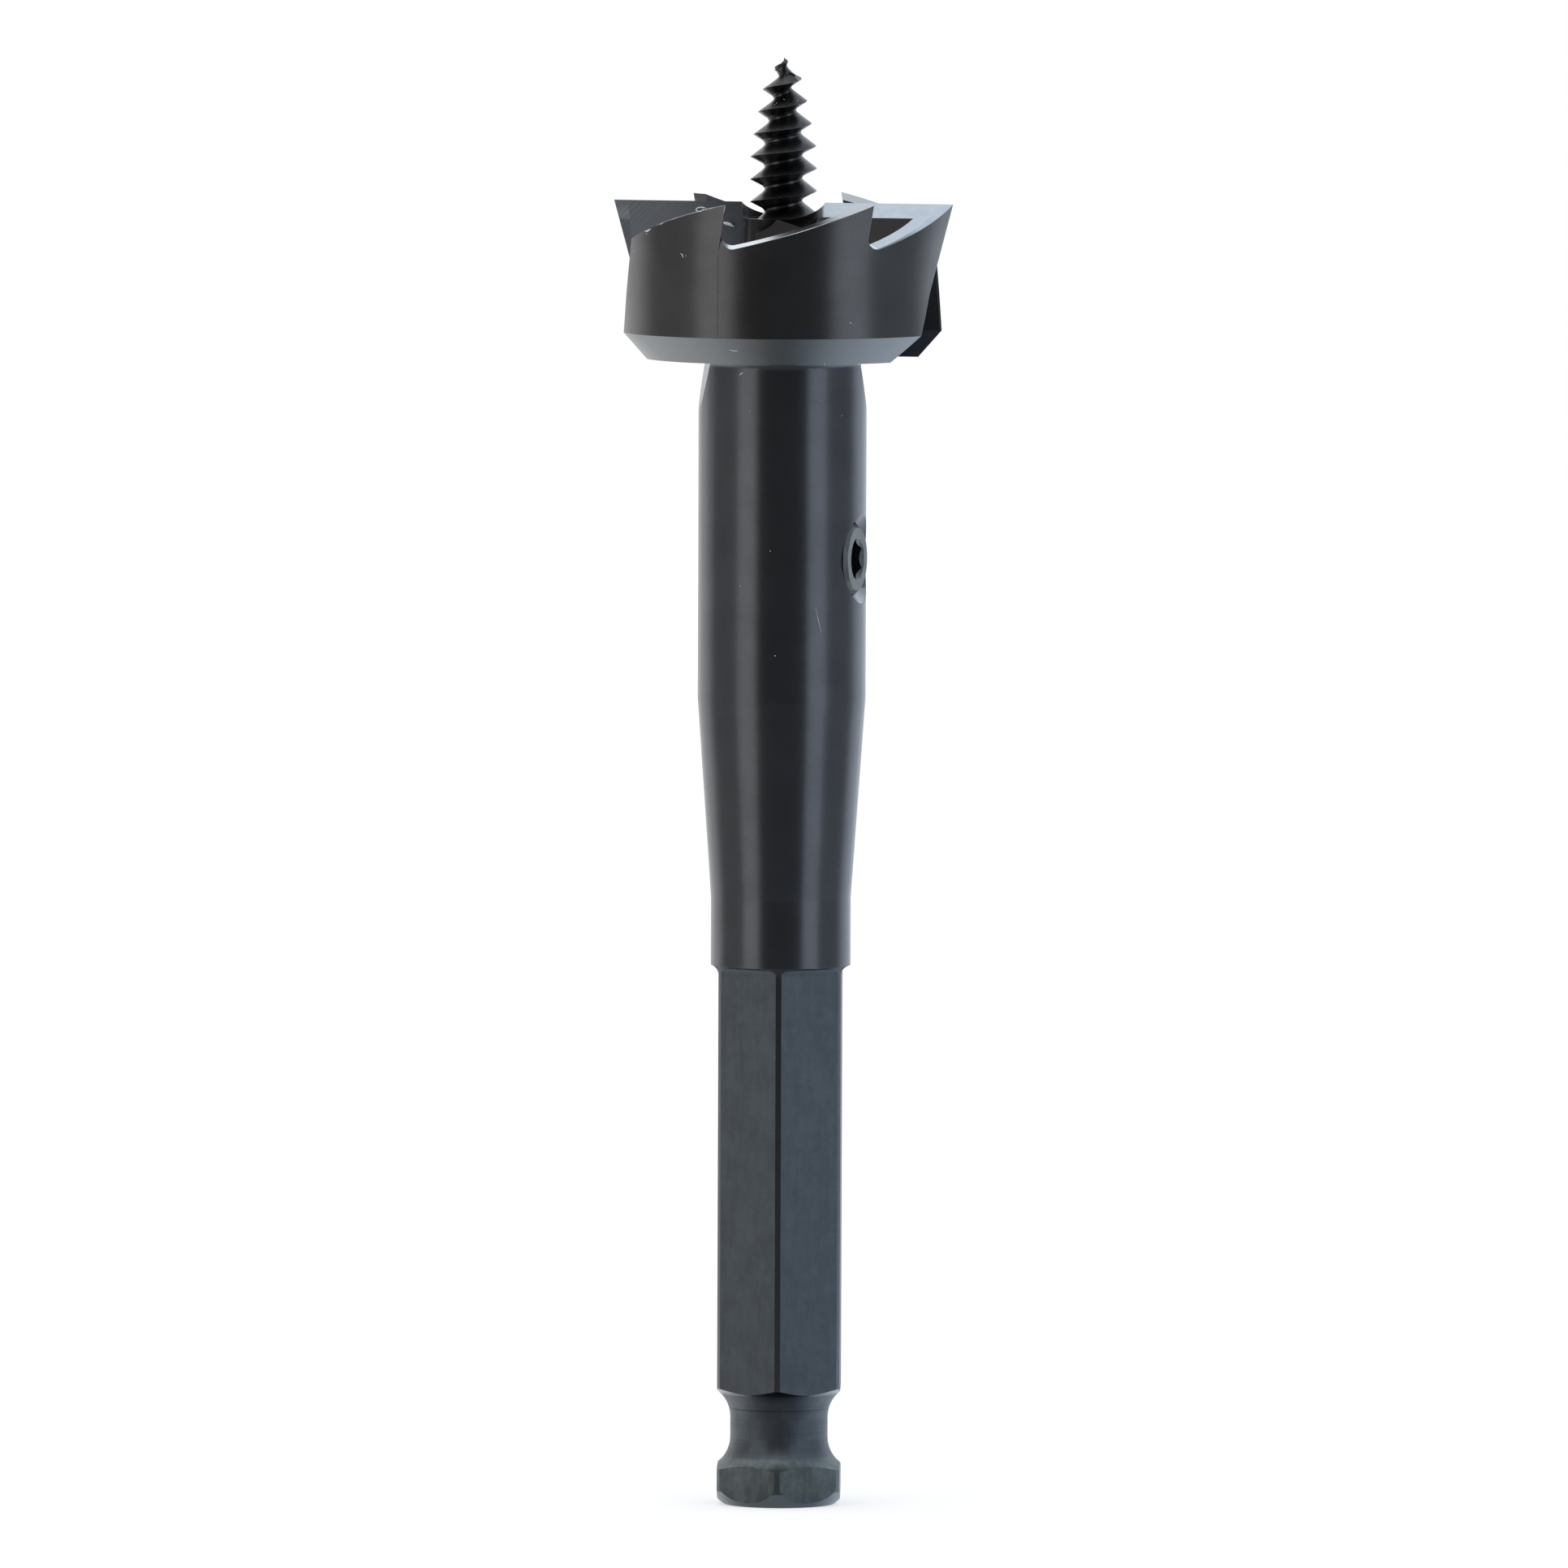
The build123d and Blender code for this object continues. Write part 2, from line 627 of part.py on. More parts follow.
def feed_screw():
    screw = screw_shank()
    screw += thread()
    screw -= flat_cutter()
    return screw.solid()


# Set screw


def set_screw():
    """The socket set screw, from its point on the flat to just below the side of the shank."""
    radius = SET_SCREW_DIAMETER / 2
    point = SET_SCREW_POINT_DIAMETER / 2
    inner = flat_surface(SET_SCREW_HEIGHT - point) + SEAT_CLEARANCE
    outer = UPPER_SHANK_RADIUS - SET_SCREW_SINK
    low = (Align.CENTER, Align.CENTER, Align.MIN)
    edges = Polyline(
        (0, 0, inner),
        (point, 0, inner),
        (radius, 0, inner + SET_SCREW_POINT_CHAMFER),
        (radius, 0, outer - SET_SCREW_RIM_CHAMFER),
        (radius - SET_SCREW_RIM_CHAMFER, 0, outer),
        (0, 0, outer),
        close=True,
    )
    screw = cross_plane(0) * turned(edges)
    socket = RegularPolygon(SOCKET_ACROSS_FLATS / 2, HEX_SIDES, major_radius=False, rotation=30)
    screw -= extrude(cross_plane(outer - SOCKET_DEPTH) * socket, SOCKET_DEPTH + PAST)
    across = SOCKET_ACROSS_FLATS / 2
    cone = Cone(across, across + SOCKET_CHAMFER + PAST, SOCKET_CHAMFER + PAST, align=low)
    screw -= cross_plane(outer - SOCKET_CHAMFER) * cone
    return screw.solid()


PIECES = {
    "bit_body": bit_body,
    "feed_screw": feed_screw,
    "set_screw": set_screw,
}

os.makedirs("parts", exist_ok=True)
for name, make in PIECES.items():
    export_step(make(), f"parts/{name}.step")
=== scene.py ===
import math

import bpy
from mathutils import Euler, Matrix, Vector
from mathutils.bvhtree import BVHTree


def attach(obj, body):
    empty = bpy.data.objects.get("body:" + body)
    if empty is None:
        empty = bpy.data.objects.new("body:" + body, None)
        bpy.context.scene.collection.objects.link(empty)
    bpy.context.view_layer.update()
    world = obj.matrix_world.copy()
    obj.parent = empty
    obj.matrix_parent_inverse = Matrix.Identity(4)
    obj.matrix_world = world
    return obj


# The looks of a self-feed bit that stands on its hex end. Lengths are in metres and angles in
# degrees. The viewer looks along +Y with X to the right, and Z is up.
MM = 0.001

# Camera: far away with a long lens, a little above the bit, and rolled by a fraction of a degree
CAMERA_DISTANCE = 2333 * MM
CAMERA_HEIGHT = 220.6 * MM
AIM_HEIGHT = 65.5 * MM
AIM_ASIDE = 0.25 * MM
CAMERA_PLACE = (AIM_ASIDE, -CAMERA_DISTANCE, CAMERA_HEIGHT)
CAMERA_ROLL = 0.21
CAMERA_REACH = 20.0
SENSOR_WIDTH = 36.0
IMAGE_WIDTH_PX = 1932
FOCAL_LENGTH_PX = 31750

# Zones of the body, as part.py has them
END_ROUND_TOP = 1.35 * MM
FOOT_TOP = 4.5 * MM
GROOVE_TOP = 10.3 * MM
HEX_TOP = 49.1 * MM
HEX_FLAT = 5.555 * MM
HEX_CORNER_AZIMUTH = -91.6
UPPER_SHANK_RADIUS = 7.62 * MM
CROSS_HOLE_CENTRE = (6.84 * MM, -2.22 * MM, 86.1 * MM)
CROSS_HOLE_ALONG = (0.951057, -0.309017, 0.0)
CROSS_HOLE_RADIUS = 3.2 * MM
HEAD_BOTTOM = 104.2 * MM
CHAMFER_TOP = 106.6 * MM
GULLET_BOTTOM = 114.05 * MM
WALL_RADIUS = 14.55 * MM
POCKET_RADIUS = 13.2 * MM
LIP_TOP = 118.34 * MM
LIP_AZIMUTH = -14.0
LIP_RELIEF = 21.5
LIP_RAKE = 21.0
LIP_INNER_END = 3.8 * MM
LIP_TURNS = (90, 270)

# Marks on the body, and where painted shade and painted highlights lie on it
GROOVE_RING = (8.68 * MM, 8.8 * MM)
RUN_OUT_TOP = HEX_TOP + 1.0 * MM
GAP_REACH = CROSS_HOLE_RADIUS + 0.24 * MM
COUNTERSINK_REACH = CROSS_HOLE_RADIUS + 0.85 * MM
LAND_ROOT = 3.6 * MM
POCKET_SHADE_FROM = CHAMFER_TOP + 3 * MM
# Heights between which the rim's tops get a painted highlight, in full below the lower one
RIM_HIGHLIGHT_HEIGHTS = (115.0 * MM, 116.2 * MM)
GRINDING_ACROSS = (-0.707, 0.0, 0.707)
GRINDING_LINES = 5200.0
EDGE_WIDTH = 0.05 * MM
SET_SCREW_EDGE_WIDTH = 0.09 * MM
PLANE_THICKNESS = 0.02 * MM

# Colours as linear red, green and blue. A pair is the darker and the lighter of an uneven one.
SHANK_TONES = ((0.12, 0.125, 0.138), (0.136, 0.141, 0.155))
HEX_TONES = ((0.118, 0.134, 0.154), (0.146, 0.168, 0.192))
FOOT_TONES = ((0.132, 0.155, 0.16), (0.205, 0.24, 0.25))
# The end round's light bluish tone is a painted reflection of the table.
END_ROUND_REFLECTION_TONE = (0.36, 0.42, 0.46)
TURNED_MARK_TONE = (0.07, 0.078, 0.085)
GROOVE_RING_TONE = (0.05, 0.055, 0.06)
HEX_EDGE_TONE = (0.4, 0.44, 0.43)
# Painted highlight on the countersink's lower side
COUNTERSINK_HIGHLIGHT_TONE = (0.34, 0.36, 0.39)
# Painted shade in the gap between the set screw and its hole
GAP_PAINTED_SHADE_TONE = (0.022, 0.022, 0.024)
HEAD_TONES = ((0.119, 0.119, 0.122), (0.137, 0.137, 0.141))
# The chamfer's lighter tone is partly its turned finish and partly a painted reflection of the
# table.
CHAMFER_FINISH_AND_REFLECTION_TONE = (0.2, 0.216, 0.23)
# Painted shade inside the pockets.
POCKET_PAINTED_SHADE_TONE = (0.056, 0.053, 0.054)
GROUND_TONES = ((0.18, 0.197, 0.225), (0.38, 0.41, 0.455))
LAND_TONES = ((0.6, 0.67, 0.75), (0.66, 0.73, 0.82))
RIM_TOP_TONE = (0.42, 0.45, 0.47)
# Painted highlight on the rim's tops low down, near the gullets
RIM_PAINTED_HIGHLIGHT_TONE = (0.8, 0.86, 0.9)
HEAD_EDGE_TONE = (0.4, 0.41, 0.43)
SCREW_TONES = ((0.065, 0.064, 0.067), (0.095, 0.092, 0.096))
SCREW_EDGE_TONE = (0.3, 0.3, 0.32)
SET_SCREW_TONES = ((0.1, 0.108, 0.11), (0.15, 0.162, 0.165))
SET_SCREW_EDGE_TONE = (0.5, 0.53, 0.55)
LINT_TONES = ((0.62, 0.62, 0.6), (0.85, 0.85, 0.84))
# A burr's bare steel, made bright as a painted glint
BURR_GLINT_TONES = ((0.4, 0.41, 0.43), (0.85, 0.87, 0.9))
TABLE_TONE = (0.9, 0.9, 0.9, 1)
WHITE = (1.0, 1.0, 1.0)

# Noises: scale, detail and roughness. A stretched one has three scales.
CLOUD = (260.0, 4.0, 0.6)
GRAIN = (2600.0, 3.0, 0.6)
RINGS = ((30.0, 30.0, 9000.0), 2.0, 0.6)
STREAKS = ((700.0, 700.0, 60.0), 3.0, 0.6)
MOTTLE = (420.0, 6.0, 0.7)
SCUFFS = ((1500.0, 1500.0, 350.0), 3.0, 0.6)
SCREW_CLOUD = (600.0, 3.0, 0.6)
SCREW_GRAIN = (4000.0, 3.0, 0.6)
SET_SCREW_CLOUD = (900.0, 3.0, 0.6)
SET_SCREW_GRAIN = (5000.0, 2.0, 0.6)
BURR_GRAIN = (1500.0, 3.0, 0.6)
LINT_GRAIN = (4000.0, 2.0, 0.5)

# How strongly the marks and the worn edges show
MOTTLE_SHARE = 0.6
TURNED_MARK_SHARE = 0.35
GROOVE_RING_SHARE = 0.5
HEX_EDGE_SHARE = 0.45
HEAD_EDGE_SHARE = 0.5
SCREW_EDGE_SHARE = 0.45
SET_SCREW_EDGE_SHARE = 0.55

# Roughness, and how deep the finest marks are. A pair is the least and what the grain adds.
SHANK_ROUGHNESS = 0.24
HEX_ROUGHNESS = 0.46
HEAD_ROUGHNESS = 0.25
LAND_ROUGHNESS = 0.34
SCREW_ROUGHNESS = (0.22, 0.14)
SET_SCREW_ROUGHNESS = (0.3, 0.16)
RAKE_ROUGHNESS = 0.5
ROUGHNESS_SPREAD = 0.1
BURR_ROUGHNESS = 0.45
LINT_ROUGHNESS = 0.7
FINE_DEPTH = 0.003 * MM
COARSE_DEPTH = 0.004 * MM

# Small things on the bit, by points of the picture in pixels, with half sizes in mm.
# A strand also has its flatness, from 0 to 1.
SPECKS = (
    (781, 309.6, 0.05), (797, 288, 0.06), (845, 315, 0.04), (1048, 398, 0.07),
    (949, 679, 0.05), (912, 722, 0.05), (955, 808, 0.05), (924, 507, 0.04),
    (1016, 449, 0.05), (1010.8, 493, 0.04), (1037, 512, 0.04), (966, 122.5, 0.05),
    (983, 124, 0.06), (956.8, 127, 0.04), (954.5, 129, 0.04), (962.5, 87.5, 0.09),
    (964.2, 90.5, 0.11), (1058, 448.5, 0.09), (1062, 451.5, 0.07),
)
SPECK_SIDES = 7
SPECK_THICKNESS = 0.3
STRANDS = (
    (((891.5, 273.6), (894, 274.6), (896.6, 274.9), (900.5, 276.4), (904.4, 278.9)), 0.15, 1.0),
    (((838.2, 312.4), (840.4, 313.4), (841.6, 315.4), (841.4, 317.9)), 0.03, 1.0),
    (((1005, 748), (1008.5, 765), (1012, 780)), 0.012, 0.6),
    (((898, 430.5), (904, 432.3), (910, 432.0)), 0.03, 0.8),
    (((911, 462), (914, 460), (916, 459)), 0.05, 0.8),
    (((795, 285), (798.5, 284.5), (802, 282)), 0.07, 0.8),
    (((813.5, 277), (815, 274.8), (817, 274.6)), 0.05, 0.8),
    (((893.4, 252.8), (893.0, 256.5), (892.2, 261.5)), 0.06, 0.8),
)
STRAND_SIDES = 6
STRAND_END = 0.35
STRAND_LIFT = 0.6
LARGEST_STEP = 1.6 * MM
LOOP_FOOT = (864, 262.5)
LOOP = ((871, 257.6), (867.6, 255.6), (863.6, 255.1), (860.0, 255.8), (857.7, 257.4),
        (857.8, 259.2), (859.8, 260.4), (862.8, 260.5), (865.6, 259.4), (866.6, 257.9),
        (865.2, 256.6))
LOOP_SIZE = 0.032
RIM_EDGE_COLUMNS = (892, 886, 879, 870, 860, 848, 834, 820, 808, 796, 786, 779)
RIM_EDGE_SEARCH_FROM = 245.0
RIM_EDGE_SEARCH_STEP = 0.2
RIM_EDGE_SEARCH_STEPS = 400
RIM_EDGE_SIZE = 0.035
THROAT_EDGE = ((775.4, 321), (776.9, 306), (778.3, 296))
THROAT_EDGE_SIZE = 0.03
TIP_DEPTH = -0.05 * MM
TIP_LAYERS = ((0.25, -0.62), (0.6, -0.55), (0.88, -0.3), (1.0, 0.0), (0.88, 0.3), (0.6, 0.5))
TIP_OUTLINE = ((968.3, 72.4), (970.3, 74.0), (971.0, 76.0), (969.9, 78.5), (969.6, 81.0),
               (971.6, 84.0), (975.5, 88.0), (981.5, 93.0), (973.0, 98.0), (964.0, 97.5),
               (961.8, 93.0), (960.2, 89.6), (956.6, 87.8), (953.2, 86.4), (955.6, 85.3),
               (959.2, 83.2), (961.2, 79.6), (963.8, 76.3), (966.2, 73.4))

# Studio: how bright the bit mirrors what is around it. Angles are from the viewer's direction.
FRONT_LIGHT = 0.09
BOX_FROM = 38.0
BOX_TO = 62.0
BOX_EDGE = 5.0
BOX_LIGHT = 0.85
SIDE_LIGHT = 0.33
BACKDROP_FROM = 92.0
BACKDROP_FULL = 130.0
LEFT_TINT = (1.01, 1.0, 0.99)
RIGHT_TINT = (0.94, 1.03, 1.14)
TINT_REACH = 0.6
TOP_LIGHT = 0.7
TOP_FROM = 0.45
TOP_FULL = 0.8
DIFFUSE_LIGHT = 0.95

# Table: near the bit it has its own pattern of light, and further away that of the room
TABLE_REACH = 1.7
TABLE_NEAR = 0.13
TABLE_FAR = 0.24
TABLE_FROM = 25.0
TABLE_FULL = 125.0
TABLE_FRONT_LIGHT = 0.22
TABLE_BACK_LIGHT = 1.1
TABLE_AHEAD_LIGHT = 0.14
TABLE_AHEAD_NEAR = 1.1
TABLE_AHEAD_FAR = 1.5
TABLE_WHITE = 1.24
TABLE_GLOW_SHARE = 0.45

LAMP_SIZE = 0.6
LAMP_POWER = 1.0
LAMP_PLACE = (-0.2, -0.1, 1.0)


# Node helpers


class Graph:
    """A node tree with short calls for the nodes that the materials use."""

    def __init__(self, tree):
        self.tree = tree
        tree.nodes.clear()

    def node(self, kind, **settings):
        made = self.tree.nodes.new(kind)
        for name, value in settings.items():
            setattr(made, name, value)
        return made

    def put(self, socket, value):
        if isinstance(value, bpy.types.NodeSocket):
            self.tree.links.new(value, socket)
        else:
            socket.default_value = value

    def math(self, operation, *values):
        made = self.node("ShaderNodeMath", operation=operation)
        for socket, value in zip(made.inputs, values):
            self.put(socket, value)
        return made.outputs[0]

    def product(self, *values):
        total = values[0]
        for value in values[1:]:
            total = self.math("MULTIPLY", total, value)
        return total

    def largest(self, *values):
        total = values[0]
        for value in values[1:]:
            total = self.math("MAXIMUM", total, value)
        return total

    def vector(self, operation, first, second=(0, 0, 0)):
        made = self.node("ShaderNodeVectorMath", operation=operation)
        self.put(made.inputs[0], first)
        self.put(made.inputs[1], second)
        return made.outputs["Value"] if operation == "DOT_PRODUCT" else made.outputs[0]

    def length(self, vector):
        return self.math("SQRT", self.vector("DOT_PRODUCT", vector, vector))

    def ramp(self, value, low, high, start=0.0, end=1.0):
        """Goes smoothly from start to end while the value goes from low to high."""
        made = self.node("ShaderNodeMapRange", interpolation_type="SMOOTHSTEP")
        given = {"Value": value, "From Min": low, "From Max": high, "To Min": start, "To Max": end}
        for name, setting in given.items():
            self.put(made.inputs[name], setting)
        return made.outputs[0]

    def band(self, value, low, high, edge):
        """One between low and high, fading to zero over the edge on both sides."""
        rise = self.ramp(value, low - edge, low)
        fall = self.ramp(value, high, high + edge, 1.0, 0.0)
        return self.math("MULTIPLY", rise, fall)

    def blend(self, share, first, second, kind="FLOAT"):
        """Goes from the first number, vector or colour to the second as the share goes to one."""
        socket_type = {"FLOAT": "VALUE", "VECTOR": "VECTOR", "RGBA": "RGBA"}[kind]
        made = self.node("ShaderNodeMix", data_type=kind)
        self.put(made.inputs["Factor"], share)
        for name, given in (("A", first), ("B", second)):
            socket = [s for s in made.inputs if s.name == name and s.type == socket_type][0]
            self.put(socket, given)
        return [s for s in made.outputs if s.type == socket_type][0]

    def mix(self, share, first, second):
        """A blend of two colours."""
        colors = [(*one, 1.0) if isinstance(one, tuple) else one for one in (first, second)]
        return self.blend(share, *colors, kind="RGBA")

    def uneven(self, texture, tones, low=0.3, high=0.7):
        """The pair of colours, mixed by a texture."""
        return self.mix(self.ramp(texture, low, high), *tones)

    def raised(self, value, base, share):
        """The base and a share of the value."""
        return self.math("ADD", base, self.math("MULTIPLY", value, share))

    def noise(self, place, scale, detail, roughness):
        made = self.node("ShaderNodeTexNoise")
        self.put(made.inputs["Vector"], place)
        self.put(made.inputs["Scale"], scale)
        self.put(made.inputs["Detail"], detail)
        self.put(made.inputs["Roughness"], roughness)
        return made.outputs["Fac"]

    def stretched_noise(self, place, scales, detail, roughness):
        made = self.node("ShaderNodeMapping")
        self.put(made.inputs["Vector"], place)
        made.inputs["Scale"].default_value = scales
        return self.noise(made.outputs[0], 1.0, detail, roughness)

    def lines(self, place, across, scale):
        """Noise that only changes along one direction, as fine parallel marks."""
        made = self.node("ShaderNodeTexNoise", noise_dimensions="1D")
        along = self.vector("DOT_PRODUCT", place, across)
        self.put(made.inputs["W"], self.math("MULTIPLY", along, scale))
        self.put(made.inputs["Detail"], 1.0)
        return made.outputs["Fac"]

    def place(self):
        return self.node("ShaderNodeTexCoord").outputs["Object"]

    def normal(self):
        return self.node("ShaderNodeNewGeometry").outputs["Normal"]

    def outward(self, place):
        """The level direction away from the bit's axis."""
        return self.vector("NORMALIZE", self.vector("MULTIPLY", place, (1, 1, 0)))

    def split(self, place):
        made = self.node("ShaderNodeSeparateXYZ")
        self.put(made.inputs[0], place)
        return made.outputs

    def surface(self, shader, kind="ShaderNodeOutputMaterial"):
        self.put(self.node(kind).inputs["Surface"], shader.outputs[0])


def new_material(name):
    material = bpy.data.materials.new(name)
    material.use_nodes = True
    return material, Graph(material.node_tree)


def metal(g, color, roughness, normal):
    shader = g.node("ShaderNodeBsdfPrincipled")
    g.put(shader.inputs["Base Color"], color)
    g.put(shader.inputs["Roughness"], roughness)
    shader.inputs["Metallic"].default_value = 1.0
    g.put(shader.inputs["Normal"], normal)
    g.surface(shader)


def bumped(g, height, depth, normal=None):
    made = g.node("ShaderNodeBump")
    made.inputs["Strength"].default_value = 1.0
    made.inputs["Distance"].default_value = depth
    g.put(made.inputs["Height"], height)
    if normal is not None:
        g.put(made.inputs["Normal"], normal)
    return made.outputs[0]


def worn_edges(g, width):
    """One at sharp edges and zero on flat or smoothly round surfaces."""
    bevel = g.node("ShaderNodeBevel", samples=6)
    bevel.inputs["Radius"].default_value = width
    facing = g.vector("DOT_PRODUCT", bevel.outputs[0], g.normal())
    return g.ramp(facing, 0.99, 0.9)


def direction(azimuth):
    return (math.cos(math.radians(azimuth)), math.sin(math.radians(azimuth)), 0.0)


# Zones of the body: each is one in its zone and zero elsewhere


def on_hex_flats(g, place):
    """The milled flats of the hex, without its turned corners and groove."""
    reach = []
    for side in range(3):
        across = g.vector("DOT_PRODUCT", place, direction(HEX_CORNER_AZIMUTH + 30 + 60 * side))
        reach.append(g.math("ABSOLUTE", across))
    return g.ramp(g.largest(*reach), HEX_FLAT - 0.008 * MM, HEX_FLAT - 0.003 * MM)


def in_groove(g, z):
    """The turned groove and all that is below it."""
    return g.ramp(z, GROOVE_TOP, GROOVE_TOP - 0.3 * MM)


def on_lip_planes(g, place, slope):
    """The two planes through the lips' edges that rise with the slope ahead of each lip."""
    z = g.split(place)[2]
    planes = []
    for turn in LIP_TURNS:
        along = direction(LIP_AZIMUTH + turn)
        rise = g.math("MULTIPLY", g.vector("DOT_PRODUCT", place, along), slope)
        off = g.math("ABSOLUTE", g.math("SUBTRACT", g.math("SUBTRACT", z, LIP_TOP), rise))
        planes.append(g.ramp(off, 2 * PLANE_THICKNESS, PLANE_THICKNESS))
    return g.largest(*planes)


def facing_up(g):
    """All faces that look up more than aside."""
    normal = g.node("ShaderNodeTexCoord").outputs["Normal"]
    return g.ramp(g.split(normal)[2], 0.5, 0.6)


def on_lands(g, place):
    """The ground lands behind both lips, without their roots."""
    planes = on_lip_planes(g, place, math.tan(math.radians(LIP_RELIEF)))
    aside = g.math("ABSOLUTE", g.split(place)[0])
    outer = g.ramp(aside, LAND_ROOT - 0.15 * MM, LAND_ROOT + 0.15 * MM)
    return g.product(planes, facing_up(g), outer)


def on_rakes(g, place, radius):
    """The ground front faces of both lips."""
    planes = on_lip_planes(g, place, 1 / math.tan(math.radians(LIP_RAKE)))
    in_head = g.ramp(g.split(place)[2], HEAD_BOTTOM, CHAMFER_TOP)
    return g.product(planes, in_head, g.ramp(radius, LIP_INNER_END, LIP_INNER_END + 0.1 * MM))


def in_pocket_shade(g, z, radius):
    """All that lies inside the rim and well above its foot, which is darkened there as painted
    shade.
    """
    inner = g.ramp(radius, POCKET_RADIUS + 0.05 * MM, POCKET_RADIUS - 0.05 * MM)
    return g.product(g.ramp(z, POCKET_SHADE_FROM, POCKET_SHADE_FROM + 1 * MM), inner)


def level_normal(g, place, radius):
    """The mesh's normal, set level at the foot of the head's wall and less so towards the tips."""
    z = g.split(place)[2]
    on_wall = g.ramp(radius, WALL_RADIUS - 0.02 * MM, WALL_RADIUS)
    above = g.ramp(z, CHAMFER_TOP, CHAMFER_TOP + 0.02 * MM)
    below = g.ramp(z, GULLET_BOTTOM, LIP_TOP, 1.0, 0.0)
    return g.blend(g.product(on_wall, above, below), g.normal(), g.outward(place), kind="VECTOR")


# Materials


def cross_hole_color(g, place, radius, color):
    """Painted shade in the gap in front of the set screw, and a painted highlight on the
    countersink below it.
    """
    off = g.vector("SUBTRACT", place, CROSS_HOLE_CENTRE)
    depth = g.vector("DOT_PRODUCT", off, CROSS_HOLE_ALONG)
    along = g.vector("SCALE", CROSS_HOLE_ALONG)
    g.put(along.node.inputs["Scale"], depth)
    off = g.vector("SUBTRACT", off, along)
    away = g.length(off)
    _, y, z = g.split(off)
    near = g.ramp(depth, -2.0 * MM, -1.5 * MM)
    # Painted highlight: only the lower side of the countersink is lightened.
    sink_highlight = g.product(
        g.ramp(z, -CROSS_HOLE_RADIUS * 0.8, -CROSS_HOLE_RADIUS * 0.9),
        g.ramp(away, COUNTERSINK_REACH + 0.1 * MM, COUNTERSINK_REACH),
        g.ramp(radius, UPPER_SHANK_RADIUS - 0.02 * MM, UPPER_SHANK_RADIUS - 0.06 * MM),
    )
    # Painted shade: the body around the hole's front edge is darkened as the gap's shade.
    gap = g.product(
        g.ramp(away, GAP_REACH + 0.12 * MM, GAP_REACH),
        g.ramp(y, -CROSS_HOLE_RADIUS * 0.35, -CROSS_HOLE_RADIUS * 0.7),
    )
    color = g.mix(g.product(sink_highlight, near), color, COUNTERSINK_HIGHLIGHT_TONE)
    return g.mix(g.product(gap, near), color, GAP_PAINTED_SHADE_TONE)


def shank_color(g, place, radius, z, flats, dull, cloud, rings, streaks):
    """The foot, the groove, the hex and the round shank, from below."""
    blotches = g.blend(MOTTLE_SHARE, g.stretched_noise(place, *SCUFFS), g.noise(place, *MOTTLE))
    color = g.mix(dull, g.uneven(cloud, SHANK_TONES), g.uneven(blotches, HEX_TONES, 0.35, 0.65))

    foot = g.ramp(z, FOOT_TOP, FOOT_TOP - 0.2 * MM)
    color = g.mix(foot, color, g.uneven(blotches, FOOT_TONES, 0.4, 0.65))
    # Painted reflection: the end round below the flats is lightened and blued.
    end = g.ramp(z, END_ROUND_TOP, END_ROUND_TOP - 0.15 * MM)
    color = g.mix(g.product(g.math("SUBTRACT", 1.0, flats), end), color, END_ROUND_REFLECTION_TONE)

    turned = g.product(in_groove(g, z), g.ramp(z, FOOT_TOP - 0.4 * MM, FOOT_TOP))
    turned = g.product(turned, g.ramp(rings, 0.45, 0.7), TURNED_MARK_SHARE)
    color = g.mix(turned, color, TURNED_MARK_TONE)
    ring = g.band(z, *GROOVE_RING, 0.05 * MM)
    color = g.mix(g.product(ring, GROOVE_RING_SHARE), color, GROOVE_RING_TONE)
    color = cross_hole_color(g, place, radius, color)

    low = g.ramp(z, RUN_OUT_TOP + 0.2 * MM, RUN_OUT_TOP)
    worn = g.product(worn_edges(g, EDGE_WIDTH), low, g.ramp(streaks, 0.4, 0.6), HEX_EDGE_SHARE)
    return g.mix(worn, color, HEX_EDGE_TONE)


def head_color(g, place, radius, z, lands, rakes, cloud, streaks):
    """The coated wall, the chamfer with its partly painted reflection, the pockets in painted
    shade, and the ground and bare surfaces on top with a painted highlight low on the rim.
    """
    # The chamfer is lightened, partly as its turned finish and partly as a painted reflection of
    # the table.
    chamfer = g.band(z, HEAD_BOTTOM, CHAMFER_TOP - 0.02 * MM, 0.02 * MM)
    color = g.mix(chamfer, g.uneven(cloud, HEAD_TONES), CHAMFER_FINISH_AND_REFLECTION_TONE)
    # Painted shade: all inside the rim and well above its foot is darkened.
    color = g.mix(in_pocket_shade(g, z, radius), color, POCKET_PAINTED_SHADE_TONE)
    grinding = g.lines(place, GRINDING_ACROSS, GRINDING_LINES)
    color = g.mix(rakes, color, g.uneven(grinding, GROUND_TONES, 0.35, 0.65))
    tops = g.product(facing_up(g), g.ramp(radius, POCKET_RADIUS - 0.1 * MM, POCKET_RADIUS))
    # Painted highlight: the rim's up-facing tops turn whiter lower down, towards the gullets.
    rim_highlight = g.ramp(z, RIM_HIGHLIGHT_HEIGHTS[1], RIM_HIGHLIGHT_HEIGHTS[0])
    color = g.mix(tops, color, g.mix(rim_highlight, RIM_TOP_TONE, RIM_PAINTED_HIGHLIGHT_TONE))
    color = g.mix(lands, color, g.uneven(streaks, LAND_TONES, 0.35, 0.65))
    above = g.ramp(z, GULLET_BOTTOM, GULLET_BOTTOM + 0.2 * MM)
    worn = g.product(worn_edges(g, EDGE_WIDTH), above, HEAD_EDGE_SHARE)
    return g.mix(worn, color, HEAD_EDGE_TONE)


